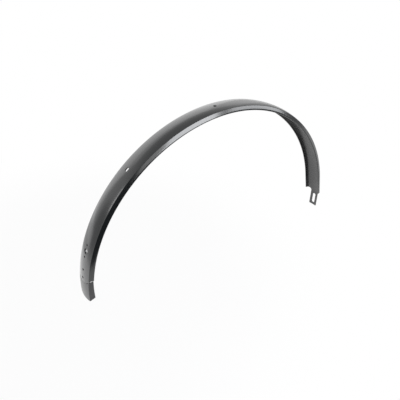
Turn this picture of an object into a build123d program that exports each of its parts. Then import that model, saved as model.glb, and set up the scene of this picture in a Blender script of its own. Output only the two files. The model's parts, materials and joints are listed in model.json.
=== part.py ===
from build123d import *
import os
from math import cos, radians, sin, sqrt

# Rear bicycle mudguard: a rolled sheet blade with a slotted front tongue, and a moulded end flap.
# Millimetres and degrees. The origin is on the wheel axle, +X forward, +Y left, +Z up.
# Side view angles run from +X up to +Z and back, and sizes of the arcs are taken at the creases.

# Side view: three tangent arcs and a straight front end
MAIN_RADIUS = 365.0
MAIN_FRONT_ANGLE = 60.0
MAIN_REAR_ANGLE = 140.0
FRONT_RADIUS = 383.0
FRONT_SWEEP = 47.5
FRONT_STRAIGHT = 58.0
REAR_RADIUS = 352.0

# Section of the blade: domed crown, rounded creases, splayed walls with folded-in hems
CROWN_WIDTH = 47.3
EDGE_WIDTH = 54.5
CROWN_RISE = 3.3
WALL_DROP = 9.4
CREASE_RADIUS = 3.5
SHEET = 1.2
HEM_HEIGHT = 3.5

# The blade narrows towards its front end
FRONT_CROWN_WIDTH = 42.6
FRONT_EDGE_WIDTH = 48.2
FRONT_WALL_SETBACK = 4.5
FRONT_SECTIONS = 5

# Tongue at the front end: set back upright by one bend, with a long adjusting slot
TONGUE_WIDTH = 25.5
TONGUE_ROOT = 6.0
TONGUE_BEND_RADIUS = 30.0
TONGUE_UPRIGHT = 42.0
TONGUE_CORNER = 2.0
SHOULDER_RADIUS = 7.8
TONGUE_SLOT_LENGTH = 32.0
TONGUE_SLOT_WIDTH = 9.5
TONGUE_SLOT_MARGIN = 7.0

# Holes on the centre line of the crown
BRIDGE_HOLE_ANGLE = 92.0
BRIDGE_HOLE = 7.0
RACK_SLOT_ANGLE = 129.0
RACK_SLOT_LENGTH = 9.5
RACK_SLOT_WIDTH = 6.0
LAMP_ANGLE = 160.0
LAMP_HOLE = 4.3
LAMP_HOLE_SPACING = 28.0
LAMP_CABLE_HOLE = 12.0
STAY_ANGLE = 169.0
STAY_HOLE = 5.2
STAY_HOLE_SPACING = 20.0

# Joint between the blade and the flap: the crown ends in a round nose, and the walls in a step
SEAM_ANGLE = 170.6
NOSE_LENGTH = 11.0
NOSE_GAP = 0.2
STEP_DROP = 4.6
STEP_BACK = 2.5
WALL_GAP = 1.6

# End flap, and the tongue on it that lies under the blade's crown
FLAP_THICKNESS = 2.6
FLAP_END_ANGLE = 179.4
FLAP_START_DROP = 9.2
FLAP_END_DROP = 11.4
FLAP_WALL_SETBACK = 9.0
LAP_LENGTH = 6.5
LAP_ROOT = 6.0
LAP_WIDTH = 38.0
LAP_THICKNESS = 1.6
LAP_CLEARANCE = 0.15

AXLE = Vector(0, 0, 0)
CUT = 40.0


def outward(angle):
    """Unit vector away from the axle at a side view angle."""
    return Vector(cos(radians(angle)), 0, sin(radians(angle)))


FRONT_CENTRE = outward(MAIN_FRONT_ANGLE) * (MAIN_RADIUS - FRONT_RADIUS)
REAR_CENTRE = outward(MAIN_REAR_ANGLE) * (MAIN_RADIUS - REAR_RADIUS)
FRONT_END_ANGLE = MAIN_FRONT_ANGLE - FRONT_SWEEP


def section_plane(centre, radius, angle):
    """Plane across the guard: local x to the left, local y outward, local z towards the front."""
    out = outward(angle)
    return Plane(centre + out * radius, x_dir=(0, 1, 0), z_dir=(out.Z, 0, -out.X))


def main_plane(angle):
    """Section plane on the main arc."""
    return section_plane(AXLE, MAIN_RADIUS, angle)


def rear_plane(angle):
    """Section plane on the rear arc."""
    return section_plane(REAR_CENTRE, REAR_RADIUS, angle)


def front_plane(angle):
    """Section plane on the front arc."""
    return section_plane(FRONT_CENTRE, FRONT_RADIUS, angle)


def crown_view(section):
    """Plane on the crown at a section: local x along the guard to the rear, local z outward."""
    return Plane(section.origin, x_dir=-section.z_dir, z_dir=section.y_dir)


def side_view(section):
    """Plane in the side view at a section: local x along the guard to the rear, local y outward."""
    return Plane(section.origin, x_dir=-section.z_dir, z_dir=section.x_dir)


def channel(crown_width, edge_width, drop, thickness, hem_height):
    """Closed channel outline; a hem is the sheet folded flat against the wall, or the wall ends square."""
    half_crown, half_edge = crown_width / 2, edge_width / 2
    down = Vector(half_edge - half_crown, -drop).normalized()
    out = Vector(-down.Y, down.X)
    crown_radius = (half_crown**2 + CROWN_RISE**2) / (2 * CROWN_RISE)
    crown_centre = Vector(0, CROWN_RISE - crown_radius)

    # The crease bend touches the wall line and the crown circle from inside
    start = Vector(half_crown, 0) - out * CREASE_RADIUS - crown_centre
    reach = crown_radius - CREASE_RADIUS
    slope = start.dot(down)
    bend = crown_centre + start + down * (-slope - sqrt(slope**2 - start.dot(start) + reach**2))
    up = (bend - crown_centre).normalized()
    between = (up + out).normalized()

    # Wall from the crease's round outside to its flat inside, by way of the lower edge,
    # whose corners are counted inward from the outer face and up from the edge
    lower_edge = [(0, 0), (thickness, 0)]
    if hem_height:
        lower_edge = [(0, 0), (2 * thickness, 0), (2 * thickness, hem_height), (thickness, hem_height)]
    inner_bend = CREASE_RADIUS - thickness
    wall = [Vector(half_edge, -drop) - out * inward - down * above for inward, above in lower_edge]
    wall = [bend + out * CREASE_RADIUS] + wall + [bend + out * inner_bend, bend + up * inner_bend]
    crease = [bend + direction * CREASE_RADIUS for direction in (out, between, up)]

    lines = [Polyline(wall), ThreePointArc(crease)]
    lines += [mirror(line, about=Plane.YZ) for line in lines]
    for depth in (0, thickness):
        corner = crown_centre + up * (crown_radius - depth)
        top = Vector(0, CROWN_RISE - depth)
        lines.append(ThreePointArc(Vector(-corner.X, corner.Y), top, corner))
    return make_face(lines)


def blade_section(narrowing=0.0):
    """Section of the blade, from full width at 0 to the front end's width at 1."""
    crown = CROWN_WIDTH + (FRONT_CROWN_WIDTH - CROWN_WIDTH) * narrowing
    edge = EDGE_WIDTH + (FRONT_EDGE_WIDTH - EDGE_WIDTH) * narrowing
    return channel(crown, edge, WALL_DROP, SHEET, HEM_HEIGHT)


def front_end_plane():
    """Section plane where the walls end in front."""
    return front_plane(FRONT_END_ANGLE).offset(FRONT_STRAIGHT)


def front_run():
    """Front arc and straight end, narrowing with the square of the distance."""
    arc_length = FRONT_RADIUS * radians(FRONT_SWEEP)
    total = arc_length + FRONT_STRAIGHT
    sections = []
    for i in range(FRONT_SECTIONS):
        travel = arc_length * i / (FRONT_SECTIONS - 1)
        angle = MAIN_FRONT_ANGLE - FRONT_SWEEP * i / (FRONT_SECTIONS - 1)
        sections.append(front_plane(angle) * blade_section((travel / total) ** 2))
    middle = front_plane(FRONT_END_ANGLE).offset(FRONT_STRAIGHT / 2)
    sections.append(middle * blade_section(((arc_length + FRONT_STRAIGHT / 2) / total) ** 2))
    sections.append(front_end_plane() * blade_section(1.0))
    return loft(sections)


def tongue():
    """Slotted tongue: the crown runs on past the walls, bends upright and is trimmed to width."""
    root_plane = front_end_plane()
    section = blade_section(1.0)
    bend_plane = root_plane.offset(TONGUE_ROOT)
    bend_axis = Axis(bend_plane.origin - bend_plane.y_dir * TONGUE_BEND_RADIUS, (0, 1, 0))
    upright = section_plane(bend_axis.position, TONGUE_BEND_RADIUS, 0)
    strip = extrude(root_plane * section, TONGUE_ROOT)
    strip += revolve(bend_plane * section, bend_axis, FRONT_END_ANGLE)
    strip += extrude(upright * section, TONGUE_UPRIGHT)

    # Seen from the front: a wide bar at the root, and the tongue hanging from it with round shoulders
    tip = upright.origin.Z - TONGUE_UPRIGHT
    root = root_plane.origin.Z
    shoulder = min(SHOULDER_RADIUS, 0.95 * (FRONT_CROWN_WIDTH - TONGUE_WIDTH) / 2)
    view = Plane((0, 0, 0), x_dir=(0, 1, 0), z_dir=(1, 0, 0))
    bar = Pos(0, root + CUT / 2) * Rectangle(FRONT_CROWN_WIDTH, CUT)
    hanging = Pos(0, (root + tip) / 2) * Rectangle(TONGUE_WIDTH, root - tip)
    outline = bar + hanging
    corners = outline.vertices().filter_by(lambda v: abs(v.Y - root) < SHEET / 10)
    outline = fillet(corners.sort_by(lambda v: abs(v.X))[:2], shoulder)
    outline = fillet(outline.vertices().group_by(Axis.Y)[0], TONGUE_CORNER)
    slot_middle = tip + TONGUE_SLOT_MARGIN + TONGUE_SLOT_LENGTH / 2
    outline -= Pos(0, slot_middle) * Rot(0, 0, 90) * SlotOverall(TONGUE_SLOT_LENGTH, TONGUE_SLOT_WIDTH)
    return strip & extrude(view * outline, MAIN_RADIUS + FRONT_RADIUS)


def hole_pair(diameter, spacing):
    """Two holes in line along the guard."""
    return Pos(-spacing / 2) * Circle(diameter / 2) + Pos(spacing / 2) * Circle(diameter / 2)


def crown_holes():
    """Cutters for the holes on the centre line of the crown."""
    rack = SlotOverall(RACK_SLOT_LENGTH, RACK_SLOT_WIDTH)
    lamp = hole_pair(LAMP_HOLE, LAMP_HOLE_SPACING) + Circle(LAMP_CABLE_HOLE / 2)
    shapes = [
        crown_view(main_plane(BRIDGE_HOLE_ANGLE)) * Circle(BRIDGE_HOLE / 2),
        crown_view(main_plane(RACK_SLOT_ANGLE)) * rack,
        crown_view(rear_plane(LAMP_ANGLE)) * lamp,
        crown_view(rear_plane(STAY_ANGLE)) * hole_pair(STAY_HOLE, STAY_HOLE_SPACING),
    ]
    return [extrude(shape, WALL_DROP, both=True) for shape in shapes]


def nose(gap):
    """Prism of the crown's round end, grown by a gap."""
    half = CROWN_WIDTH / 2
    radius = (half**2 + NOSE_LENGTH**2) / (2 * NOSE_LENGTH)
    depth = STEP_DROP / 2 + gap
    disc = Pos(NOSE_LENGTH - radius, 0, -depth) * Circle(radius + gap)
    return extrude(crown_view(rear_plane(SEAM_ANGLE)) * disc, depth + 2 * CROWN_RISE)


def past_step(shift):
    """Block behind the stepped end of the walls, moved to the rear and inward by a shift."""
    step = STEP_DROP + shift
    outline = Polyline(
        (shift, CUT), (shift, -step), (shift - STEP_BACK, -step), (shift - STEP_BACK, -CUT),
        (2 * CUT, -CUT), (2 * CUT, CUT), close=True,
    )
    return extrude(side_view(rear_plane(SEAM_ANGLE)) * make_face(outline), EDGE_WIDTH, both=True)


def front_corners():
    """Cutter that slopes the front ends of the walls back to their lower edge."""
    corner = Polyline((0, 0), (FRONT_WALL_SETBACK, -WALL_DROP), (0, -2 * WALL_DROP), close=True)
    return extrude(side_view(front_end_plane()) * make_face(corner), EDGE_WIDTH, both=True)


def blade():
    """The rolled blade with its tongue, holes and stepped rear end."""
    rear_sweep = SEAM_ANGLE - MAIN_REAR_ANGLE + NOSE_LENGTH / radians(REAR_RADIUS)
    main = main_plane(MAIN_FRONT_ANGLE) * blade_section()
    body = revolve(main, Axis(AXLE, (0, -1, 0)), MAIN_REAR_ANGLE - MAIN_FRONT_ANGLE)
    body += revolve(rear_plane(MAIN_REAR_ANGLE) * blade_section(), Axis(REAR_CENTRE, (0, -1, 0)), rear_sweep)
    body += [front_run() - front_corners(), tongue()]
    return body - (past_step(-WALL_GAP / 2) - nose(0)) - crown_holes()


def flap_section():
    """Section of the flap at its full depth, with the same splay as the blade's walls."""
    splay = (EDGE_WIDTH - CROWN_WIDTH) / WALL_DROP
    drop = FLAP_END_DROP + FLAP_THICKNESS
    return channel(CROWN_WIDTH, CROWN_WIDTH + splay * drop, drop, FLAP_THICKNESS, 0)


def flap_edge():
    """Disc that trims the flap's walls: shallow at the seam, deeper towards the end."""
    shift = (FLAP_END_DROP - FLAP_START_DROP) / sin(radians(FLAP_END_ANGLE - SEAM_ANGLE))
    centre = REAR_CENTRE + rear_plane(SEAM_ANGLE).z_dir * shift
    disc = Plane(centre, x_dir=(1, 0, 0), z_dir=(0, 1, 0)) * Circle(REAR_RADIUS - FLAP_START_DROP)
    return extrude(disc, EDGE_WIDTH, both=True)


def lap():
    """Tongue of the flap under the blade's crown."""
    half = CROWN_WIDTH / 2
    crown_radius = (half**2 + CROWN_RISE**2) / (2 * CROWN_RISE)
    outer = crown_radius - SHEET - LAP_CLEARANCE
    band = Circle(outer) - Circle(outer - LAP_THICKNESS)
    band = Pos(0, CROWN_RISE - crown_radius) * band & Pos(0, CROWN_RISE) * Rectangle(LAP_WIDTH, half)
    start = SEAM_ANGLE + (NOSE_LENGTH - LAP_LENGTH) / radians(REAR_RADIUS)
    sweep = (LAP_LENGTH + LAP_ROOT) / radians(REAR_RADIUS)
    return revolve(rear_plane(start) * band, Axis(REAR_CENTRE, (0, -1, 0)), sweep)


def end_flap():
    """The moulded flap: deepening walls cut back at the end, and a tongue under the blade."""
    start = SEAM_ANGLE - (STEP_BACK + WALL_GAP) / radians(REAR_RADIUS)
    body = revolve(rear_plane(start) * flap_section(), Axis(REAR_CENTRE, (0, -1, 0)), FLAP_END_ANGLE - start)
    body = (body - flap_edge()) & (past_step(WALL_GAP / 2) - nose(NOSE_GAP))

    # The walls are cut back from the crease to their lower edge
    corner = Polyline((0, 0), (-FLAP_WALL_SETBACK, -FLAP_END_DROP), (0, -2 * FLAP_END_DROP), close=True)
    cut_back = extrude(side_view(rear_plane(FLAP_END_ANGLE)) * make_face(corner), EDGE_WIDTH, both=True)
    return body - cut_back + lap()


os.makedirs("parts", exist_ok=True)
for name, part in {"blade": blade(), "end_flap": end_flap()}.items():
    export_step(part, f"parts/{name}.step")
    print(name, len(part.solids()), "solid", round(part.volume), "mm3", part.bounding_box())
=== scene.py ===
import json
from math import radians

import bpy
import numpy as np
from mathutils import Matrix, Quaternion, Vector


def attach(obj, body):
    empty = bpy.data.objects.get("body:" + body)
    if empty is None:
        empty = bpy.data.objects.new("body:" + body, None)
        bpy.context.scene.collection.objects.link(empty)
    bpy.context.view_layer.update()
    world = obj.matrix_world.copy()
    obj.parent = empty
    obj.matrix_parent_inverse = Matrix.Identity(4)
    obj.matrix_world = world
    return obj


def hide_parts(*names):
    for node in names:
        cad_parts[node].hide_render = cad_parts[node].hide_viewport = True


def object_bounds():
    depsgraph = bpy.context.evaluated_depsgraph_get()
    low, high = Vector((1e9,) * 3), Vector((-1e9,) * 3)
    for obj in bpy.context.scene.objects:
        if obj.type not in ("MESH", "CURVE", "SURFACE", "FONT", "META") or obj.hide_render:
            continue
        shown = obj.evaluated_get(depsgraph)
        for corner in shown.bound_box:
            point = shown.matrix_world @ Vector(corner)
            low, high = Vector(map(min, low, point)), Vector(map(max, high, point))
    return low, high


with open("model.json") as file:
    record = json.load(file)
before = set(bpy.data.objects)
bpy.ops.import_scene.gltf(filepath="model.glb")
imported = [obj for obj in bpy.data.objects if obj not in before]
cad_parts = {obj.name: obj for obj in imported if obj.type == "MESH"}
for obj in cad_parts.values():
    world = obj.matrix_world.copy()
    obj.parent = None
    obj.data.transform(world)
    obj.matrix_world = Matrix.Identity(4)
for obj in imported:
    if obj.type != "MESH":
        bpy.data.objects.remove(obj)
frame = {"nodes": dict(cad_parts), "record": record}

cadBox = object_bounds()  # box of the CAD solids, before anything is added
mounts = {m["name"]: m for m in frame["record"]["mounts"]}
mm = 0.001
tiny = 1e-9  # keeps a division from meeting zero
print("frame loaded:", sorted(frame["nodes"]))


# Side view of the guard at its creases, in mm and degrees; angles run from +X up to +Z and back
line = dict(
    mainRadius=365.0, mainFront=60.0, mainRear=140.0,
    frontRadius=383.0, frontSweep=47.5, frontStraight=58.0,
    rearRadius=352.0, seam=170.6, flapEnd=179.4,
    tongueRoot=6.0, tongueBend=30.0, tongueUpright=42.0,
)
frontTurn = line["mainFront"] - line["frontSweep"]

# Lengths of the runs from the tongue's tip to the flap's end; distance along is zero where
# the walls end in front
runLengths = [
    line["tongueUpright"],
    line["tongueBend"] * radians(frontTurn),
    line["tongueRoot"],
    line["frontStraight"],
    line["frontRadius"] * radians(line["frontSweep"]),
    line["mainRadius"] * radians(line["mainRear"] - line["mainFront"]),
    line["rearRadius"] * radians(line["flapEnd"] - line["mainRear"]),
]
knots = np.concatenate(([0], np.cumsum(runLengths))) - sum(runLengths[:3])
turns = [0, 0, frontTurn, frontTurn, frontTurn, line["mainFront"], line["mainRear"], line["flapEnd"]]
tipAlong, mainAlong, rearAlong, endAlong = knots[[0, 5, 6, 7]]
seamAlong = rearAlong + line["rearRadius"] * radians(line["seam"] - line["mainRear"])

# The outward direction turns evenly along each run, and the line is the running sum of the
# direction square to it
tableStep = 0.4
alongTable = np.arange(tipAlong, endAlong + tableStep, tableStep)
turnTable = np.radians(np.interp(alongTable, knots, turns))


def runningSum(slope, startAt, startValue):
    total = np.concatenate(([0], np.cumsum((slope[1:] + slope[:-1]) / 2 * tableStep)))
    return total + startValue - np.interp(startAt, alongTable, total)


mainStart = radians(line["mainFront"])
xTable = runningSum(-np.sin(turnTable), mainAlong, line["mainRadius"] * np.cos(mainStart))
zTable = runningSum(np.cos(turnTable), mainAlong, line["mainRadius"] * np.sin(mainStart))


# Point in metres: the line's point at a distance along, moved across to the left and outward
def carry(along, across, out):
    turn = np.radians(np.interp(along, knots, turns))
    x = np.interp(along, alongTable, xTable) + out * np.cos(turn)
    z = np.interp(along, alongTable, zTable) + out * np.sin(turn)
    return np.stack(np.broadcast_arrays(x, across, z), axis=-1) * mm


# A mount's distance along is that of the line's nearest point
def mountAlong(name):
    x, _, z = mounts[name]["pos_m"]
    return alongTable[np.argmin(np.hypot(xTable * mm - x, zTable * mm - z))]


print("line laid out:", round(endAlong - tipAlong), "mm from the tip to the end")


# Half section of the middle of the sheet, from the centre line outwards: an arc for the crown, an arc
# for the crease that touches it and the wall, the straight wall, and with a hem a half turn and a
# straight run back up. Gives across, out, and the tilt of the sheet's outer side from straight out,
# with one row for each station.
def sheetSection(shape, halfCrown, halfEdge, drop, alongWall):
    middle = shape["sheet"] / 2
    lean = np.arctan2(halfEdge - halfCrown, drop)
    wallTilt = np.pi / 2 - lean
    sinLean, cosLean = np.sin(lean), np.cos(lean)
    crownRadius = (halfCrown**2 + shape["rise"]**2) / (2 * shape["rise"])
    crownOut = shape["rise"] - crownRadius

    # centre of the crease's bend: on a line beside the wall, and inside the crown's circle
    startAcross = halfCrown - cosLean * shape["crease"]
    startOut = -sinLean * shape["crease"] - crownOut
    slope = startAcross * sinLean - startOut * cosLean
    reach = crownRadius - shape["crease"]
    slide = -slope - np.sqrt(slope**2 - startAcross**2 - startOut**2 + reach**2)
    bendAcross = startAcross + sinLean * slide
    bendOut = crownOut + startOut - cosLean * slide
    crownTilt = np.arctan2(bendAcross, bendOut - crownOut)

    def arc(centreAcross, centreOut, radius, tiltFrom, tiltTo, shares):
        tilt = tiltFrom + (tiltTo - tiltFrom) * shares
        return centreAcross + radius * np.sin(tilt), centreOut + radius * np.cos(tilt), tilt

    def straight(fromAcross, fromOut, toAcross, toOut, tilt, shares):
        across = fromAcross + (toAcross - fromAcross) * shares
        return across, fromOut + (toOut - fromOut) * shares, tilt + 0 * across

    def shares(count):
        return np.linspace(0, 1, count + 1)[1:]

    fold = middle + shape["foldGap"] if shape["hem"] else 0
    foldRise = fold + middle if fold else 0
    foldAcross = halfEdge - cosLean * (middle + fold) - sinLean * foldRise
    foldOut = -drop - sinLean * (middle + fold) + cosLean * foldRise
    bendRadius = shape["crease"] - middle
    runs = [
        arc(0, crownOut, crownRadius - middle, 0, crownTilt, np.linspace(0, 1, shape["crownCells"] + 1)),
        arc(bendAcross, bendOut, bendRadius, crownTilt, wallTilt, shares(shape["creaseCells"])),
        straight(
            bendAcross + cosLean * bendRadius, bendOut + sinLean * bendRadius,
            foldAcross + cosLean * fold, foldOut + sinLean * fold, wallTilt, alongWall,
        ),
    ]
    if fold:
        rise = shape["hem"] - fold - middle
        hemTilt = wallTilt + np.pi
        hemAcross, hemOut = foldAcross - cosLean * fold, foldOut - sinLean * fold
        runs.append(arc(foldAcross, foldOut, fold, wallTilt, hemTilt, shares(shape["foldCells"])))
        runs.append(straight(
            hemAcross, hemOut, hemAcross - sinLean * rise, hemOut + cosLean * rise,
            hemTilt, shares(shape["hemCells"]),
        ))
    across, out, tilt = [np.hstack(parts) for parts in zip(*runs)]

    # the folded hem leans in a little more than the wall above it
    if fold:
        below = np.maximum(-out - (drop - shape["hem"]), 0)
        turned = np.minimum(below / shape["hemTurnRun"], 1)
        hemLean = np.radians(shape["hemTurn"]) * turned
        across = across - hemLean * (below - shape["hemTurnRun"] * turned / 2)
        tilt = tilt + hemLean
    return across, out, tilt


# The other half is the mirror image, so columns run from the right hem over the crown to the left hem
def bothSides(across, out, tilt):
    other = np.s_[:, :0:-1]
    return (
        np.hstack((-across[other], across)),
        np.hstack((out[other], out)),
        np.hstack((-tilt[other], tilt)),
    )


# Edge of a hole as a distance from its centre in each direction: a circle, or one pulled out along
# the guard
def holeReach(direction, straight, radius):
    along, side = np.abs(np.cos(direction)), np.abs(np.sin(direction))
    flat = radius / np.maximum(side, tiny)
    capped = straight * along + np.sqrt(np.maximum(radius**2 - (straight * side)**2, 0))
    return np.where(flat * along <= straight, flat, capped)


# Rings of a hole, from its window on the outer face to its window on the inner face. Each row gives
# the share of the way from window to edge, how far the edge is grown, the level it is counted from
# (0 outer face, 1 collar's end, 2 inner face) and the height above that. A plain hole goes straight
# through; a drawn one turns in to a collar.
windowRings = (0.45, 0.8)  # shares of the way from window to edge


def holeRings(hole, rounding):
    turn = np.radians((0, 30, 60, 90))
    rest, gone = 1 - np.sin(turn), 1 - np.cos(turn)
    lip, wall = hole.get("lip", rounding), hole.get("wall", 0)
    rows = [(share, lip, 0, 0) for share in windowRings]
    rows += [(1, lip * a, 0, -lip * b) for a, b in zip(rest, gone)]
    if wall:
        root = hole["root"]
        rows += [(1, rounding * a, 1, rounding * b) for a, b in zip(rest[::-1], gone[::-1])]
        rows += [(1, wall - rounding * a, 1, rounding * b) for a, b in zip(rest, gone)]
        rows += [(1, wall + root * b, 2, -root * a) for a, b in zip(rest, gone)]
        foot = wall + root
    else:
        rows += [(1, lip * a, 2, lip * b) for a, b in zip(rest[::-1], gone[::-1])]
        foot = lip
    rows += [(share, foot, 2, 0) for share in windowRings[::-1]]
    return np.array(rows).T[..., None]


# Closed shell of a bent sheet: its middle surface is a grid, and two faces stand half a sheet to each
# side. Free edges get a rounded band, set back by the rounding at both faces and by nothing midway
# between them. A hole is rings of cells from a window in one face to the window in the other.
bandShares = (0.2, 0.5, 0.8)  # shares of the way from outer to inner face


def sheetShell(along, across, out, tilt, sheet, present, rounding, holes=()):
    rows, cols = across.shape
    size = rows * cols
    lattice = np.arange(size).reshape(rows, cols)
    half = sheet / 2
    middle = carry(along, across, out)
    faceSides = [
        carry(along, across + s * np.sin(tilt), out + s * np.cos(tilt)) for s in (half, -half)
    ]
    stretch = np.hypot(np.diff(across, axis=1), np.diff(out, axis=1))
    girth = np.hstack((np.zeros((rows, 1)), np.cumsum(stretch, axis=1)))
    girth -= girth[:, cols // 2:cols // 2 + 1]
    flat = np.stack((along, girth), axis=-1).reshape(-1, 2) * mm

    # direction from each point to the middle of the cells round it, which points into the sheet at an edge
    cellMiddle = (middle[:-1, :-1] + middle[1:, :-1] + middle[:-1, 1:] + middle[1:, 1:]) / 4
    cellMiddle = cellMiddle * present[..., None]
    pull, cellCount = np.zeros_like(middle), np.zeros((rows, cols, 1))
    for i, j in ((0, 0), (0, 1), (1, 0), (1, 1)):
        pull[i:rows - 1 + i, j:cols - 1 + j] += cellMiddle
        cellCount[i:rows - 1 + i, j:cols - 1 + j] += present[..., None]
    inward = pull / np.maximum(cellCount, 1) - middle
    inward /= np.maximum(np.linalg.norm(inward, axis=-1, keepdims=True), tiny)

    # free edges of the grid, walked with the sheet's outer face on the left
    around = np.pad(present, 1)
    before, after = around[:-1, 1:-1], around[1:, 1:-1]
    right, left = around[1:-1, :-1], around[1:-1, 1:]
    edges = []
    for marked, start, end in (
        (after & ~before, lattice[:, :-1], lattice[:, 1:]),
        (before & ~after, lattice[:, 1:], lattice[:, :-1]),
        (right & ~left, lattice[:-1], lattice[1:]),
        (left & ~right, lattice[1:], lattice[:-1]),
    ):
        edges.append(np.stack((start[marked], end[marked])))
    edges = np.hstack(edges)
    rim, ends = np.unique(edges, return_inverse=True)
    starts, ends = ends.reshape(edges.shape)

    points = [side.reshape(-1, 3) for side in faceSides]
    setBack = inward.reshape(-1, 3)[rim] * rounding * mm
    outerRim, innerRim = points[0][rim], points[1][rim]
    band = [outerRim * (1 - k) + innerRim * k + setBack * (2 * k - 1)**2 for k in bandShares]
    for side in points:
        side[rim] += setBack
    points += band
    maps = [flat, flat] + [flat[rim]] * len(band)
    wear = [np.zeros(2 * size), np.ones(len(rim) * len(band))]
    inside = [np.repeat((0.0, 1.0), size), np.repeat(bandShares, len(rim))]
    wear[0][rim] = wear[0][rim + size] = 1
    bandLevels = [2 * size + k * len(rim) + np.arange(len(rim)) for k in range(len(band))]
    levels = [rim] + bandLevels + [rim + size]
    faces = [
        np.stack((a[ends], a[starts], b[starts], b[ends]), axis=1) for a, b in zip(levels, levels[1:])
    ]
    used = 2 * size + len(rim) * len(band)

    # holes: the window is cut out of the grid, and rings of cells fill it from one face to the other
    kept = present.copy()
    centreLine = along[:, cols // 2]
    for hole in holes:
        reach, margin = hole["straight"] + hole["radius"], hole["margin"]
        windowEnds = hole["along"] - reach - margin, hole["along"] + reach + margin
        i0, i1 = (np.argmin(np.abs(centreLine - end)) for end in windowEnds)
        sideways = tilt[(i0 + i1) // 2] * hole["crownRadius"]
        j0 = np.searchsorted(sideways, -hole["radius"] - margin) - 1
        j1 = np.searchsorted(sideways, hole["radius"] + margin)
        kept[i0:i1, j0:j1] = False
        rowWalk, colWalk = np.arange(i0, i1), np.arange(j0, j1)
        i = np.concatenate((0 * colWalk + i0, rowWalk, 0 * colWalk + i1, rowWalk[::-1] + 1))
        j = np.concatenate((colWalk, 0 * rowWalk + j1, colWalk[::-1] + 1, 0 * rowWalk + j0))
        windowAlong, windowSide = along[i, j] - hole["along"], tilt[i, j] * hole["crownRadius"]
        direction = np.arctan2(windowSide, windowAlong)
        share, growth, level, height = holeRings(hole, rounding)
        edge = holeReach(direction, hole["straight"], hole["radius"] + growth)
        ringAlong = hole["along"] + windowAlong + (edge * np.cos(direction) - windowAlong) * share
        ringSide = windowSide + (edge * np.sin(direction) - windowSide) * share
        ringAcross = hole["crownRadius"] * np.sin(ringSide / hole["crownRadius"])
        crownOut = out[i0, cols // 2] - hole["crownRadius"]
        outer, inner = (
            crownOut + np.sqrt((hole["crownRadius"] + s)**2 - ringAcross**2) for s in (half, -half)
        )
        collarEnd = crownOut + hole["crownRadius"] + half - hole.get("depth", sheet)
        ringOut = np.choose(level.astype(int), (outer, collarEnd, inner)) + height
        points.append(carry(ringAlong, ringAcross, ringOut).reshape(-1, 3))
        maps.append(np.stack((ringAlong, ringSide), axis=-1).reshape(-1, 2) * mm)
        wear.append(np.repeat(((share == 1) & (level == 0)).ravel(), len(i)).astype(float))
        inside.append(np.repeat(np.clip(level - 1, 0, 1).ravel(), len(i)))
        rings = used + np.arange(share.size * len(i)).reshape(-1, len(i))
        rings = np.vstack((lattice[i, j], rings, lattice[i, j] + size))
        turned = np.roll(rings, -1, axis=1)
        ringFaces = np.stack((rings[:-1], turned[:-1], turned[1:], rings[1:]), axis=-1)
        faces.append(ringFaces.reshape(-1, 4))
        used += share.size * len(i)

    i, j = np.nonzero(kept)
    corners = lattice[i, j], lattice[i, j + 1], lattice[i + 1, j + 1], lattice[i + 1, j]
    outerFaces = np.stack(corners, axis=1)
    faces += [outerFaces, outerFaces[:, ::-1] + size]
    marks = np.concatenate(wear), np.concatenate(inside)
    return np.vstack(points), np.vstack(faces), np.vstack(maps), *marks


# One mesh object from shells, with a map of distance along and round the sheet, and marks for edges
# and underside
sharpAngle = 42  # degrees between faces from which an edge is left unsmoothed


def makePiece(name, shells, node, material):
    starts = np.cumsum([0] + [len(shell[0]) for shell in shells[:-1]])
    points, _, maps, wear, inside = (np.concatenate(parts) for parts in zip(*shells))
    faces = np.vstack([shell[1] + start for shell, start in zip(shells, starts)])
    needed, faces = np.unique(faces, return_inverse=True)
    faces = faces.reshape(-1, 4)
    mesh = bpy.data.meshes.new(name)
    mesh.from_pydata(points[needed].tolist(), [], faces.tolist())
    sheetMap = mesh.uv_layers.new(name="sheetMap")
    sheetMap.data.foreach_set("uv", maps[needed][faces.ravel()].ravel())
    for label, values in (("wear", wear), ("inside", inside)):
        mesh.attributes.new(label, "FLOAT", "POINT").data.foreach_set("value", values[needed])
    mesh.shade_smooth()
    mesh.set_sharp_from_angle(angle=radians(sharpAngle))
    mesh.materials.append(material)
    piece = bpy.data.objects.new(name, mesh)
    bpy.context.scene.collection.objects.link(piece)
    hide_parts(node)
    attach(piece, "root")
    print(name, "made:", 2 * len(faces), "triangles")


# Sockets of a mix node: its two inputs and its result, for colours and for plain numbers
colourA, colourB, colourOut = 6, 7, 2
numberA, numberB, numberOut = 2, 3, 0


# Nodes are made in one line each, with values for their sockets and settings of their own
def addNode(tree, kind, values=None, **settings):
    made = tree.nodes.new(kind)
    for label, value in settings.items():
        setattr(made, label, value)
    for label, value in (values or {}).items():
        made.inputs[label].default_value = value
    return made


def newMaterial(name):
    material = bpy.data.materials.new(name)
    material.use_nodes = True
    tree = material.node_tree
    return material, tree, tree.nodes["Principled BSDF"]


# Satin black coat on rolled sheet: faint rolling lines along the guard, fine grain, cloudy sheen,
# paler worn edges; lengths are in mm
coat = dict(
    dark=(0.0066, 0.0076, 0.0085, 1), light=(0.0112, 0.0128, 0.0141, 1),
    worn=(0.035, 0.035, 0.037, 1), underneath=(0.030, 0.030, 0.031, 1),
    gloss=0.13, dull=0.18, insideDull=0.12, wornShare=0.15, lineShare=0.45, ior=1.75,
    grainSize=0.5, cloudSize=60.0, lineSize=0.8, lineLength=120.0,
    grainDetail=2.0, cloudDetail=4.0, lineDetail=3.0,
    grainBump=0.06, lineBump=0.03, bumpHeight=0.03,
)


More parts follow.
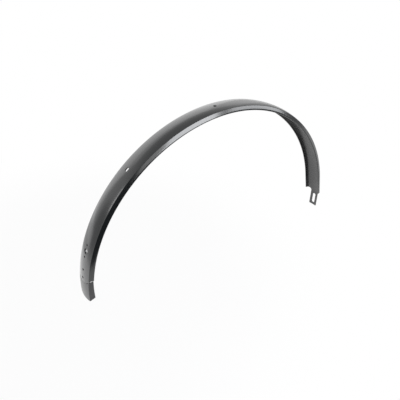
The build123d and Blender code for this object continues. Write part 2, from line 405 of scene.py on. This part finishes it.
def satinBlackCoat():
    material, tree, surface = newMaterial("satinBlackCoat")
    link = tree.links.new
    place = addNode(tree, "ShaderNodeTexCoord")
    cloud = addNode(tree, "ShaderNodeTexNoise", {
        "Scale": 1 / (coat["cloudSize"] * mm), "Detail": coat["cloudDetail"],
    })
    grain = addNode(tree, "ShaderNodeTexNoise", {
        "Scale": 1 / (coat["grainSize"] * mm), "Detail": coat["grainDetail"],
    })
    link(place.outputs["Object"], cloud.inputs["Vector"])
    link(place.outputs["Object"], grain.inputs["Vector"])

    sheetMap = addNode(tree, "ShaderNodeUVMap", uv_map="sheetMap")
    stretch = addNode(tree, "ShaderNodeMapping", {
        "Scale": (1 / (coat["lineLength"] * mm), 1 / (coat["lineSize"] * mm), 1.0),
    })
    rolling = addNode(tree, "ShaderNodeTexNoise", {
        "Scale": 1.0, "Detail": coat["lineDetail"],
    }, noise_dimensions="2D")
    link(sheetMap.outputs["UV"], stretch.inputs["Vector"])
    link(stretch.outputs["Vector"], rolling.inputs["Vector"])

    # tone: dark to light by cloud and rolling lines, then towards the worn tone at edges, broken up by
    # grain, which is one half on average
    tone = addNode(tree, "ShaderNodeMix", {"Factor": coat["lineShare"]}, data_type="FLOAT")
    link(cloud.outputs["Fac"], tone.inputs[numberA])
    link(rolling.outputs["Fac"], tone.inputs[numberB])
    colour = addNode(tree, "ShaderNodeMix", data_type="RGBA")
    colour.inputs[colourA].default_value = coat["dark"]
    colour.inputs[colourB].default_value = coat["light"]
    link(tone.outputs[numberOut], colour.inputs["Factor"])
    wear = addNode(tree, "ShaderNodeAttribute", attribute_name="wear")
    wearShare = addNode(tree, "ShaderNodeMath", operation="MULTIPLY")
    link(wear.outputs["Fac"], wearShare.inputs[0])
    link(grain.outputs["Fac"], wearShare.inputs[1])
    wearLimit = addNode(tree, "ShaderNodeMath", operation="MULTIPLY")
    wearLimit.inputs[1].default_value = coat["wornShare"] * 2
    link(wearShare.outputs["Value"], wearLimit.inputs[0])
    worn = addNode(tree, "ShaderNodeMix", data_type="RGBA")
    worn.inputs[colourB].default_value = coat["worn"]
    link(wearLimit.outputs["Value"], worn.inputs["Factor"])
    link(colour.outputs[colourOut], worn.inputs[colourA])
    under = addNode(tree, "ShaderNodeAttribute", attribute_name="inside")
    thin = addNode(tree, "ShaderNodeMix", data_type="RGBA")  # a thinner, greyer coat underneath
    thin.inputs[colourB].default_value = coat["underneath"]
    link(under.outputs["Fac"], thin.inputs["Factor"])
    link(worn.outputs[colourOut], thin.inputs[colourA])
    link(thin.outputs[colourOut], surface.inputs["Base Color"])

    # sheen: between gloss and dull by the same tone, and duller underneath
    sheen = addNode(tree, "ShaderNodeMapRange", {"To Min": coat["gloss"], "To Max": coat["dull"]})
    dulled = addNode(tree, "ShaderNodeMath", operation="MULTIPLY_ADD")
    dulled.inputs[1].default_value = coat["insideDull"]
    link(tone.outputs[numberOut], sheen.inputs["Value"])
    link(under.outputs["Fac"], dulled.inputs[0])
    link(sheen.outputs["Result"], dulled.inputs[2])
    link(dulled.outputs["Value"], surface.inputs["Roughness"])
    surface.inputs["IOR"].default_value = coat["ior"]

    # relief: the rolling lines, with the grain on top
    height = coat["bumpHeight"] * mm
    relief = addNode(tree, "ShaderNodeBump", {"Strength": coat["grainBump"], "Distance": height})
    lines = addNode(tree, "ShaderNodeBump", {"Strength": coat["lineBump"], "Distance": height})
    link(grain.outputs["Fac"], relief.inputs["Height"])
    link(rolling.outputs["Fac"], lines.inputs["Height"])
    link(lines.outputs["Normal"], relief.inputs["Normal"])
    link(relief.outputs["Normal"], surface.inputs["Normal"])
    return material


# Matte moulded plastic: an even eroded grain, slight clouding, and edges rubbed paler; lengths in mm
plastic = dict(
    dark=(0.026, 0.026, 0.027, 1), light=(0.038, 0.038, 0.040, 1), rubbed=(0.07, 0.07, 0.073, 1),
    gloss=0.30, dull=0.38, ior=1.65, grainSize=0.7, cloudSize=22.0, cloudDetail=5.0,
    grainBump=0.35, bumpHeight=0.06,
)


def mouldedPlastic():
    material, tree, surface = newMaterial("mouldedPlastic")
    link = tree.links.new
    place = addNode(tree, "ShaderNodeTexCoord")
    cloud = addNode(tree, "ShaderNodeTexNoise", {
        "Scale": 1 / (plastic["cloudSize"] * mm), "Detail": plastic["cloudDetail"],
    })
    grain = addNode(tree, "ShaderNodeTexVoronoi", {
        "Scale": 1 / (plastic["grainSize"] * mm),
    }, feature="SMOOTH_F1")
    link(place.outputs["Object"], cloud.inputs["Vector"])
    link(place.outputs["Object"], grain.inputs["Vector"])
    colour = addNode(tree, "ShaderNodeMix", data_type="RGBA")
    colour.inputs[colourA].default_value = plastic["dark"]
    colour.inputs[colourB].default_value = plastic["light"]
    link(cloud.outputs["Fac"], colour.inputs["Factor"])
    wear = addNode(tree, "ShaderNodeAttribute", attribute_name="wear")
    share = addNode(tree, "ShaderNodeMath", operation="MULTIPLY")
    link(wear.outputs["Fac"], share.inputs[0])
    link(cloud.outputs["Fac"], share.inputs[1])
    rubbed = addNode(tree, "ShaderNodeMix", data_type="RGBA")
    rubbed.inputs[colourB].default_value = plastic["rubbed"]
    link(share.outputs["Value"], rubbed.inputs["Factor"])
    link(colour.outputs[colourOut], rubbed.inputs[colourA])
    link(rubbed.outputs[colourOut], surface.inputs["Base Color"])
    sheen = addNode(tree, "ShaderNodeMapRange", {"To Min": plastic["gloss"], "To Max": plastic["dull"]})
    link(cloud.outputs["Fac"], sheen.inputs["Value"])
    link(sheen.outputs["Result"], surface.inputs["Roughness"])
    surface.inputs["IOR"].default_value = plastic["ior"]
    relief = addNode(tree, "ShaderNodeBump", {
        "Strength": plastic["grainBump"], "Distance": plastic["bumpHeight"] * mm,
    })
    link(grain.outputs["Distance"], relief.inputs["Height"])
    link(relief.outputs["Normal"], surface.inputs["Normal"])
    return material


# The blade, in mm and degrees: full section from the seam to the front arc, narrowing to the front
# end, then the tongue
blade = dict(
    crown=47.3, edge=55.2, frontCrown=43.2, frontEdge=51.2, rise=3.25, drop=10.3, crease=1.6,
    sheet=1.2, hem=3.5, hemTurn=8.0, hemTurnRun=1.0, foldGap=0.1, rounding=0.22,
    frontSetback=4.5, frontBlend=25.0,
    crownCells=14, creaseCells=8, foldCells=8, hemCells=3, stationSpacing=2.5,
    tongueWidth=25.5, tongueCorner=2.0, tongueSpacing=2.0, tongueClear=1.0,
    cornerStations=7, shoulderStations=9,
    rackSlot=(9.5, 6.0), cableHole=12.0, holeMargin=2.2,
    collarDepth=4.8, rackCollarDepth=2.5, collarWall=0.9, collarLip=0.55, collarRoot=0.5,
)

# The joint: the crown ends in a round nose, and the walls in a step with an open slit
joint = dict(nose=11.0, noseGap=0.2, stepDrop=4.6, stepBack=2.5, slit=1.6, stepBlend=0.3, blend=45.0)


# Nose line: an arc over the crown's width, grown by a gap, as distance behind the seam
def noseLine(across, gap):
    half = blade["crown"] / 2
    radius = (half**2 + joint["nose"]**2) / (2 * joint["nose"])
    return joint["nose"] - radius + np.sqrt(np.maximum((radius + gap)**2 - across**2, 0))


# End line at the joint, moved by half the slit: nose on the crown, then the wall's step at its depth
# below the crease
def jointLine(across, out, shift, gap):
    step, soft = joint["stepDrop"] + shift, joint["stepBlend"] / 2
    wall = np.interp(-out, (step - soft, step + soft), (shift, shift - joint["stepBack"]))
    onCrown = out > -joint["stepDrop"] / 2 - gap
    return np.where(onCrown, np.maximum(noseLine(across, gap), wall), wall)


# Shares along the wall: a pair of points close above and below the joint's step, one midway between
# the wall's top and the step, and two that part the rest in thirds
wallTopShare = 1e-6


def wallShares(shape, halfCrown, halfEdge, drop, step):
    _, out, _ = sheetSection(shape, halfCrown, halfEdge, drop, np.array((wallTopShare, 1.0)))
    top = 1 + shape["crownCells"] + shape["creaseCells"]
    wallTop, wallEnd = out[0, top], out[0, top + 1]
    stepShare = (wallTop + step) / (wallTop - wallEnd)
    soft = joint["stepBlend"] / 2 / (wallTop - wallEnd)
    above, below = stepShare - soft, stepShare + soft
    return np.array((above / 2, above, below, (1 + 2 * below) / 3, (2 + below) / 3, 1.0))


# Holes along the middle of the crown, drawn inward to collars, and the plain slot in the tongue
def bladeHoles(crownRadius):
    slotLength, slotWidth = blade["rackSlot"]
    wanted = [
        (mountAlong("bridge_hole"), 0, mounts["bridge_hole"]["dims"]["r_mm"], blade["collarDepth"]),
        (mountAlong("rack_slot"), (slotLength - slotWidth) / 2, slotWidth / 2, blade["rackCollarDepth"]),
        (mountAlong("cable_hole"), 0, blade["cableHole"] / 2, blade["collarDepth"]),
    ]
    for name in ("lamp_holes", "stay_holes"):
        dims = mounts[name]["dims"]
        for side in (-0.5, 0.5):
            along = mountAlong(name) + side * dims["pcd_mm"]
            wanted.append((along, 0, dims["hole_r_mm"], blade["collarDepth"]))
    holes = [dict(
        along=a, straight=s, radius=r, margin=blade["holeMargin"], crownRadius=crownRadius(a),
        depth=d, wall=blade["collarWall"], lip=blade["collarLip"], root=blade["collarRoot"],
    ) for a, s, r, d in wanted]
    slot = mounts["front_slot"]["dims"]
    slotAlong, slotRadius = mountAlong("front_slot"), slot["hole_r_mm"]
    holes.append(dict(
        along=slotAlong, straight=slot["slot_length_mm"] / 2 - slotRadius, radius=slotRadius,
        margin=blade["holeMargin"], crownRadius=crownRadius(slotAlong),
    ))
    return holes


def makeBlade(material):
    # narrowing grows with the square of the distance from the main arc to the walls' front end
    def halfWidths(along):
        narrowing = np.clip((mainAlong - along) / mainAlong, 0, 1)**2
        crown = blade["crown"] + (blade["frontCrown"] - blade["crown"]) * narrowing
        edge = blade["edge"] + (blade["frontEdge"] - blade["edge"]) * narrowing
        return crown / 2, edge / 2

    def crownRadius(along):
        halfCrown, _ = halfWidths(along)
        return (halfCrown**2 + blade["rise"]**2) / (2 * blade["rise"]) - blade["sheet"] / 2

    # tongue stations from the tip: a round corner, even steps, then quarter circles into the shoulders
    frontHalves = [np.array([[half]]) for half in halfWidths(0.0)]
    fullHalves = [np.array([[half]]) for half in halfWidths(mainAlong)]
    shareList = wallShares(blade, *fullHalves, blade["drop"], joint["stepDrop"] - joint["slit"] / 2)
    frontAcross, _, frontTilt = sheetSection(blade, *frontHalves, blade["drop"], shareList)
    crownEdge, crownTilt = frontAcross[0, blade["crownCells"]], frontTilt[0, blade["crownCells"]]
    halfTongue, corner = blade["tongueWidth"] / 2, blade["tongueCorner"]
    shoulder = crownEdge - halfTongue
    quarter = np.linspace(np.pi / 2, 0, blade["cornerStations"])
    evenFrom, evenTo = tipAlong + corner + blade["tongueSpacing"], -shoulder - blade["tongueClear"]
    evenly = np.arange(evenFrom, evenTo, blade["tongueSpacing"])
    turnIn = np.linspace(np.pi / 2, 0, blade["shoulderStations"], endpoint=False)
    tongueAlong = np.concatenate((
        tipAlong + corner * (1 - np.sin(quarter)), evenly, -shoulder * (1 - np.cos(turnIn)),
    ))
    tongueHalf = np.concatenate((
        halfTongue - corner * (1 - np.cos(quarter)), 0 * evenly + halfTongue,
        halfTongue + shoulder * (1 - np.sin(turnIn)),
    ))

    # stations fall on the ends of the crown holes' windows, with even steps between, and are closed up
    # near the joint, where the nose draws them out again
    holes = bladeHoles(crownRadius)
    windowEnds = []
    for hole in holes[:-1]:
        reach = hole["straight"] + hole["radius"] + hole["margin"]
        windowEnds += [hole["along"] - reach, hole["along"] + reach]
    blendStart, noseEnd = seamAlong - joint["blend"], seamAlong + joint["nose"]
    windowEnds = np.interp(windowEnds, (0, blendStart, noseEnd), (0, blendStart, seamAlong))
    marks = np.sort(np.concatenate(((0, seamAlong), windowEnds)))
    cells = np.ceil(np.diff(marks) / blade["stationSpacing"]).astype(int)
    stretches = zip(marks, marks[1:], cells)
    stations = np.concatenate([np.linspace(a, b, n, endpoint=False) for a, b, n in stretches])
    stations = np.append(stations, seamAlong)
    rowAlong = np.concatenate((tongueAlong, stations))[:, None]
    halfCrown, halfEdge = halfWidths(rowAlong)
    across, out, tilt = bothSides(*sheetSection(blade, halfCrown, halfEdge, blade["drop"], shareList))
    rows, cols = across.shape
    tongueRows = len(tongueAlong)
    crownFrom, crownTo = cols // 2 - blade["crownCells"], cols // 2 + blade["crownCells"]
    onTongue = np.s_[:tongueRows, crownFrom:crownTo + 1]

    # on the tongue the crown's columns close up to its width, on the same circle
    circle = crownRadius(0.0)
    tilt[onTongue] *= (np.arcsin(tongueHalf / circle) / crownTilt)[:, None]
    across[onTongue] = circle * np.sin(tilt[onTongue])
    out[onTongue] = blade["rise"] - blade["sheet"] / 2 - circle * (1 - np.cos(tilt[onTongue]))

    # each column is slid along the guard near its ends, to the walls' slope in front and to the joint
    setback = blade["frontSetback"] * np.clip(-out / blade["drop"], 0, 1)
    nearFront = np.clip(1 - rowAlong / blade["frontBlend"], 0, 1) * (rowAlong >= 0)
    nearSeam = np.clip(1 - (seamAlong - rowAlong) / joint["blend"], 0, 1)
    jointSlide = jointLine(across, out, -joint["slit"] / 2, 0)
    along = rowAlong + setback * nearFront + jointSlide * nearSeam

    present = np.ones((rows - 1, cols - 1), bool)
    present[:tongueRows] = False
    present[:tongueRows, crownFrom:crownTo] = True
    shell = sheetShell(along, across, out, tilt, blade["sheet"], present, blade["rounding"], holes)
    makePiece("bladeSheet", [shell], "blade", material)


# The flap, in mm: the same section in thicker plastic, walls growing deeper and cut back at the end,
# and a lap under the blade
flap = dict(
    sheet=2.6, rise=3.3, crease=2.8, hem=0.0, crownCells=16, creaseCells=8, stations=26,
    startDrop=9.2, endDrop=11.4, endSetback=9.0, rounding=0.7,
    lapLength=6.5, lapRoot=6.0, lapWidth=38.0, lapSheet=1.6, lapClearance=0.15, lapRounding=0.3,
    lapCells=(8, 16),
)


def makeFlap(material):
    travel = np.linspace(0, 1, flap["stations"])[:, None]
    drop = flap["startDrop"] + (flap["endDrop"] - flap["startDrop"]) * travel
    halfCrown = blade["crown"] / 2 + 0 * travel
    halfEdge = halfCrown + (blade["edge"] - blade["crown"]) / 2 * drop / blade["drop"]
    step = joint["stepDrop"] + joint["slit"] / 2
    shareList = wallShares(flap, halfCrown[:1], halfEdge[:1], drop[:1], step)
    across, out, tilt = bothSides(*sheetSection(flap, halfCrown, halfEdge, drop, shareList))

    # each column runs from the joint's line to the cut-back end
    start = seamAlong + jointLine(across[:1], out[:1], joint["slit"] / 2, joint["noseGap"])
    end = endAlong - flap["endSetback"] * np.clip(-out[-1:] / flap["endDrop"], 0, 1)
    along = start + (end - start) * travel
    everywhere = np.ones((across.shape[0] - 1, across.shape[1] - 1), bool)
    shells = [sheetShell(along, across, out, tilt, flap["sheet"], everywhere, flap["rounding"])]

    # lap: a strip on the crown's circle, below the blade's sheet
    half = blade["crown"] / 2
    circle = (half**2 + blade["rise"]**2) / (2 * blade["rise"])
    lapCircle = circle - blade["sheet"] - flap["lapClearance"] - flap["lapSheet"] / 2
    lapRows, lapCols = flap["lapCells"]
    lapRun = np.linspace(-flap["lapLength"], flap["lapRoot"], lapRows + 1)[:, None]
    lapAlong = seamAlong + joint["nose"] + lapRun
    halfTilt = np.arcsin(flap["lapWidth"] / 2 / lapCircle)
    lapTilt = halfTilt * np.linspace(-1, 1, lapCols + 1) + 0 * lapAlong
    lapOut = blade["rise"] - circle + lapCircle * np.cos(lapTilt)
    shells.append(sheetShell(
        lapAlong + 0 * lapTilt, lapCircle * np.sin(lapTilt), lapOut, lapTilt, flap["lapSheet"],
        np.ones(flap["lapCells"], bool), flap["lapRounding"],
    ))
    makePiece("flapMoulding", shells, "end_flap", material)


makeBlade(satinBlackCoat())
makeFlap(mouldedPlastic())


# Pale floor below the guard, in metres: white to the eye and in reflections, with part of its lit
# colour kept for the shadow, which fades between two shares of the radius
floor = dict(
    gap=0.22, radius=1.0, centre=(-0.35, 0.35), sides=64, colour=(0.86, 0.86, 0.86, 1),
    shadowShare=0.25, fadeFrom=0.45, fadeTo=0.95,
)


def makeFloor():
    # one round face, a gap below the guard's lowest point
    low = cadBox[0].z - floor["gap"]
    ring = np.linspace(0, 2 * np.pi, floor["sides"], endpoint=False)
    reach = floor["radius"]
    middleX, middleY = floor["centre"]
    rimX, rimY = middleX + reach * np.cos(ring), middleY + reach * np.sin(ring)
    rim = np.stack((rimX, rimY, low + 0 * ring), axis=1)
    mesh = bpy.data.meshes.new("paleFloor")
    mesh.from_pydata(rim.tolist(), [], [list(range(floor["sides"]))])
    material = bpy.data.materials.new("paleFloor")
    material.use_nodes = True
    tree = material.node_tree
    tree.nodes.clear()
    link = tree.links.new
    lit = addNode(tree, "ShaderNodeBsdfDiffuse", {"Color": floor["colour"]})
    white = addNode(tree, "ShaderNodeEmission", {"Color": (1, 1, 1, 1), "Strength": 1.0})
    path = addNode(tree, "ShaderNodeLightPath")
    seen = addNode(tree, "ShaderNodeMath", operation="MAXIMUM")
    seenAll = addNode(tree, "ShaderNodeMath", operation="MAXIMUM")
    link(path.outputs["Is Camera Ray"], seen.inputs[0])
    link(path.outputs["Is Glossy Ray"], seen.inputs[1])
    link(seen.outputs["Value"], seenAll.inputs[0])
    link(path.outputs["Is Transmission Ray"], seenAll.inputs[1])

    # the lit share fades to nothing towards the rim, so the floor has no edge
    place = addNode(tree, "ShaderNodeTexCoord")
    offset = addNode(tree, "ShaderNodeVectorMath", operation="DISTANCE")
    offset.inputs[1].default_value = (*floor["centre"], low)
    fade = addNode(tree, "ShaderNodeMapRange", {
        "From Min": reach * floor["fadeFrom"], "From Max": reach * floor["fadeTo"],
        "To Min": 1 - floor["shadowShare"], "To Max": 1.0,
    }, interpolation_type="SMOOTHSTEP")
    share = addNode(tree, "ShaderNodeMath", operation="MULTIPLY")
    link(place.outputs["Object"], offset.inputs[0])
    link(offset.outputs["Value"], fade.inputs["Value"])
    link(fade.outputs["Result"], share.inputs[0])
    link(seenAll.outputs["Value"], share.inputs[1])
    mix = addNode(tree, "ShaderNodeMixShader")
    output = addNode(tree, "ShaderNodeOutputMaterial")
    link(share.outputs["Value"], mix.inputs["Fac"])
    link(lit.outputs["BSDF"], mix.inputs[1])
    link(white.outputs["Emission"], mix.inputs[2])
    link(mix.outputs["Shader"], output.inputs["Surface"])
    mesh.materials.append(material)
    disc = bpy.data.objects.new("paleFloor", mesh)
    bpy.context.scene.collection.objects.link(disc)


# Studio: an even pale room, white to the eye, with a dimmer ceiling, which begins and is full at two
# heights of the direction, and dark sides, each within degrees of its direction
studio = dict(bright=1.0, ceiling=0.6, ceilingFrom=0.55, ceilingFull=0.85, toTheEye=1.0)
darkSides = dict(
    behindCamera=dict(towards=(-0.253, -0.945, -0.208), darkWithin=27, brightBeyond=58, level=0.03),
    pastSideRight=dict(towards=(0.91, -0.40, -0.07), darkWithin=4, brightBeyond=11, level=0.35),
    right=dict(towards=(0.97, -0.03, 0.24), darkWithin=14, brightBeyond=27, level=0.15),
    lowRight=dict(towards=(0.71, 0.69, -0.16), darkWithin=12, brightBeyond=27, level=0.65),
    leftSide=dict(towards=(-0.85, 0.53, 0.04), darkWithin=8, brightBeyond=22, level=0.55),
    belowSideRight=dict(towards=(0.717, -0.693, -0.079), darkWithin=8, brightBeyond=14, level=0.03),
    lowFront=dict(towards=(0.35, -0.61, -0.71), darkWithin=25, brightBeyond=48, level=0.45),
)


def makeStudio():
    world = bpy.data.worlds.new("studio")
    bpy.context.scene.world = world
    world.use_nodes = True
    tree = world.node_tree
    tree.nodes.clear()
    link = tree.links.new
    place = addNode(tree, "ShaderNodeTexCoord")
    height = addNode(tree, "ShaderNodeSeparateXYZ")
    ceiling = addNode(tree, "ShaderNodeMapRange", {
        "From Min": studio["ceilingFrom"], "From Max": studio["ceilingFull"],
        "To Min": studio["bright"], "To Max": studio["ceiling"],
    }, interpolation_type="SMOOTHSTEP")
    link(place.outputs["Generated"], height.inputs["Vector"])
    link(height.outputs["Z"], ceiling.inputs["Value"])
    light = ceiling.outputs["Result"]
    for side in darkSides.values():
        facing = addNode(tree, "ShaderNodeVectorMath", operation="DOT_PRODUCT")
        facing.inputs[1].default_value = Vector(side["towards"]).normalized()
        share = addNode(tree, "ShaderNodeMapRange", {
            "From Min": np.cos(radians(side["brightBeyond"])),
            "From Max": np.cos(radians(side["darkWithin"])),
            "To Min": 1.0, "To Max": side["level"],
        }, interpolation_type="SMOOTHSTEP")
        darkened = addNode(tree, "ShaderNodeMath", operation="MULTIPLY")
        link(place.outputs["Generated"], facing.inputs[0])
        link(facing.outputs["Value"], share.inputs["Value"])
        link(light, darkened.inputs[0])
        link(share.outputs["Result"], darkened.inputs[1])
        light = darkened.outputs["Value"]
    path = addNode(tree, "ShaderNodeLightPath")
    seen = addNode(tree, "ShaderNodeMix", data_type="FLOAT")
    seen.inputs[numberB].default_value = studio["toTheEye"]
    background = addNode(tree, "ShaderNodeBackground", {"Color": (1, 1, 1, 1)})
    output = addNode(tree, "ShaderNodeOutputWorld")
    link(path.outputs["Is Camera Ray"], seen.inputs["Factor"])
    link(light, seen.inputs[numberA])
    link(seen.outputs[numberOut], background.inputs["Strength"])
    link(background.outputs["Background"], output.inputs["Surface"])


# Softboxes: where each stands, what it looks at, its size in metres, power in watts, and for some
# a roll in degrees and a tint
coolTint, noTint = (0.955, 0.97, 1.0), (1, 1, 1)
softboxes = dict(
    frontRight=dict(
        at=(0.64, -1.84, 0.68), lookAt=(-0.02, 0.0, 0.35), size=(0.91, 1.00), watts=20.5, tint=coolTint,
    ),
    besideFront=dict(at=(-0.03, -2.00, 0.68), lookAt=(-0.03, 0.0, 0.35), size=(0.48, 1.00), watts=2.6),
    sideRight=dict(
        at=(1.485, -1.19, 0.56), lookAt=(0.075, -0.09, 0.34), size=(0.95, 0.41), watts=4.8, roll=-20,
        tint=coolTint,
    ),
    backWide=dict(at=(0.7, 2.0, 1.05), lookAt=(0.7, 0.0, 1.05), size=(4.4, 2.5), watts=15.0),
    backMiddle=dict(at=(0.2, 1.9, 0.85), lookAt=(0.2, 0.0, 0.85), size=(2.8, 1.9), watts=7.0, roll=-15),
    left=dict(at=(-1.83, 0.26, 1.10), lookAt=(-0.26, 0.0, 0.25), size=(0.9, 0.6), watts=4.2),
    lowBackLeft=dict(at=(-1.15, 1.26, -0.10), lookAt=(-0.33, 0.0, 0.10), size=(0.9, 0.32), watts=0.35),
    lowLeft=dict(at=(-0.75, 0.35, -0.25), lookAt=(-0.75, 0.35, 1.0), size=(0.8, 0.8), watts=1.0),
)


def makeSoftboxes():
    for name, box in softboxes.items():
        lamp = bpy.data.lights.new(name, "AREA")
        lamp.shape = "RECTANGLE"
        lamp.size, lamp.size_y = box["size"]
        lamp.energy = box["watts"]
        lamp.color = box.get("tint", noTint)
        holder = bpy.data.objects.new(name, lamp)
        holder.location = box["at"]
        aim = Vector(box["lookAt"]) - Vector(box["at"])
        roll = Quaternion((0, 0, 1), radians(box.get("roll", 0)))
        holder.rotation_euler = (aim.to_track_quat("-Z", "Y") @ roll).to_euler()
        bpy.context.scene.collection.objects.link(holder)


# Camera: behind and to the right of the guard, looking down and forward, with no roll and no shift;
# its place is in metres, its angles in degrees and its lens in mm
view = dict(
    at=(-0.545135, -0.679913, 0.707171), lookDown=33.943, headingRight=35.940,
    lens=38.248, sensor=36.0, clip=(0.01, 50),
)


def makeCamera():
    lens = bpy.data.cameras.new("photoView")
    lens.sensor_width, lens.lens = view["sensor"], view["lens"]
    lens.clip_start, lens.clip_end = view["clip"]
    camera = bpy.data.objects.new("photoView", lens)
    camera.location = view["at"]
    camera.rotation_euler = (radians(90 - view["lookDown"]), 0, -radians(view["headingRight"]))
    bpy.context.scene.collection.objects.link(camera)
    bpy.context.scene.camera = camera


makeFloor()
makeStudio()
makeSoftboxes()
makeCamera()
bpy.context.scene.view_settings.view_transform = "Standard"
print("floor, light and camera set")
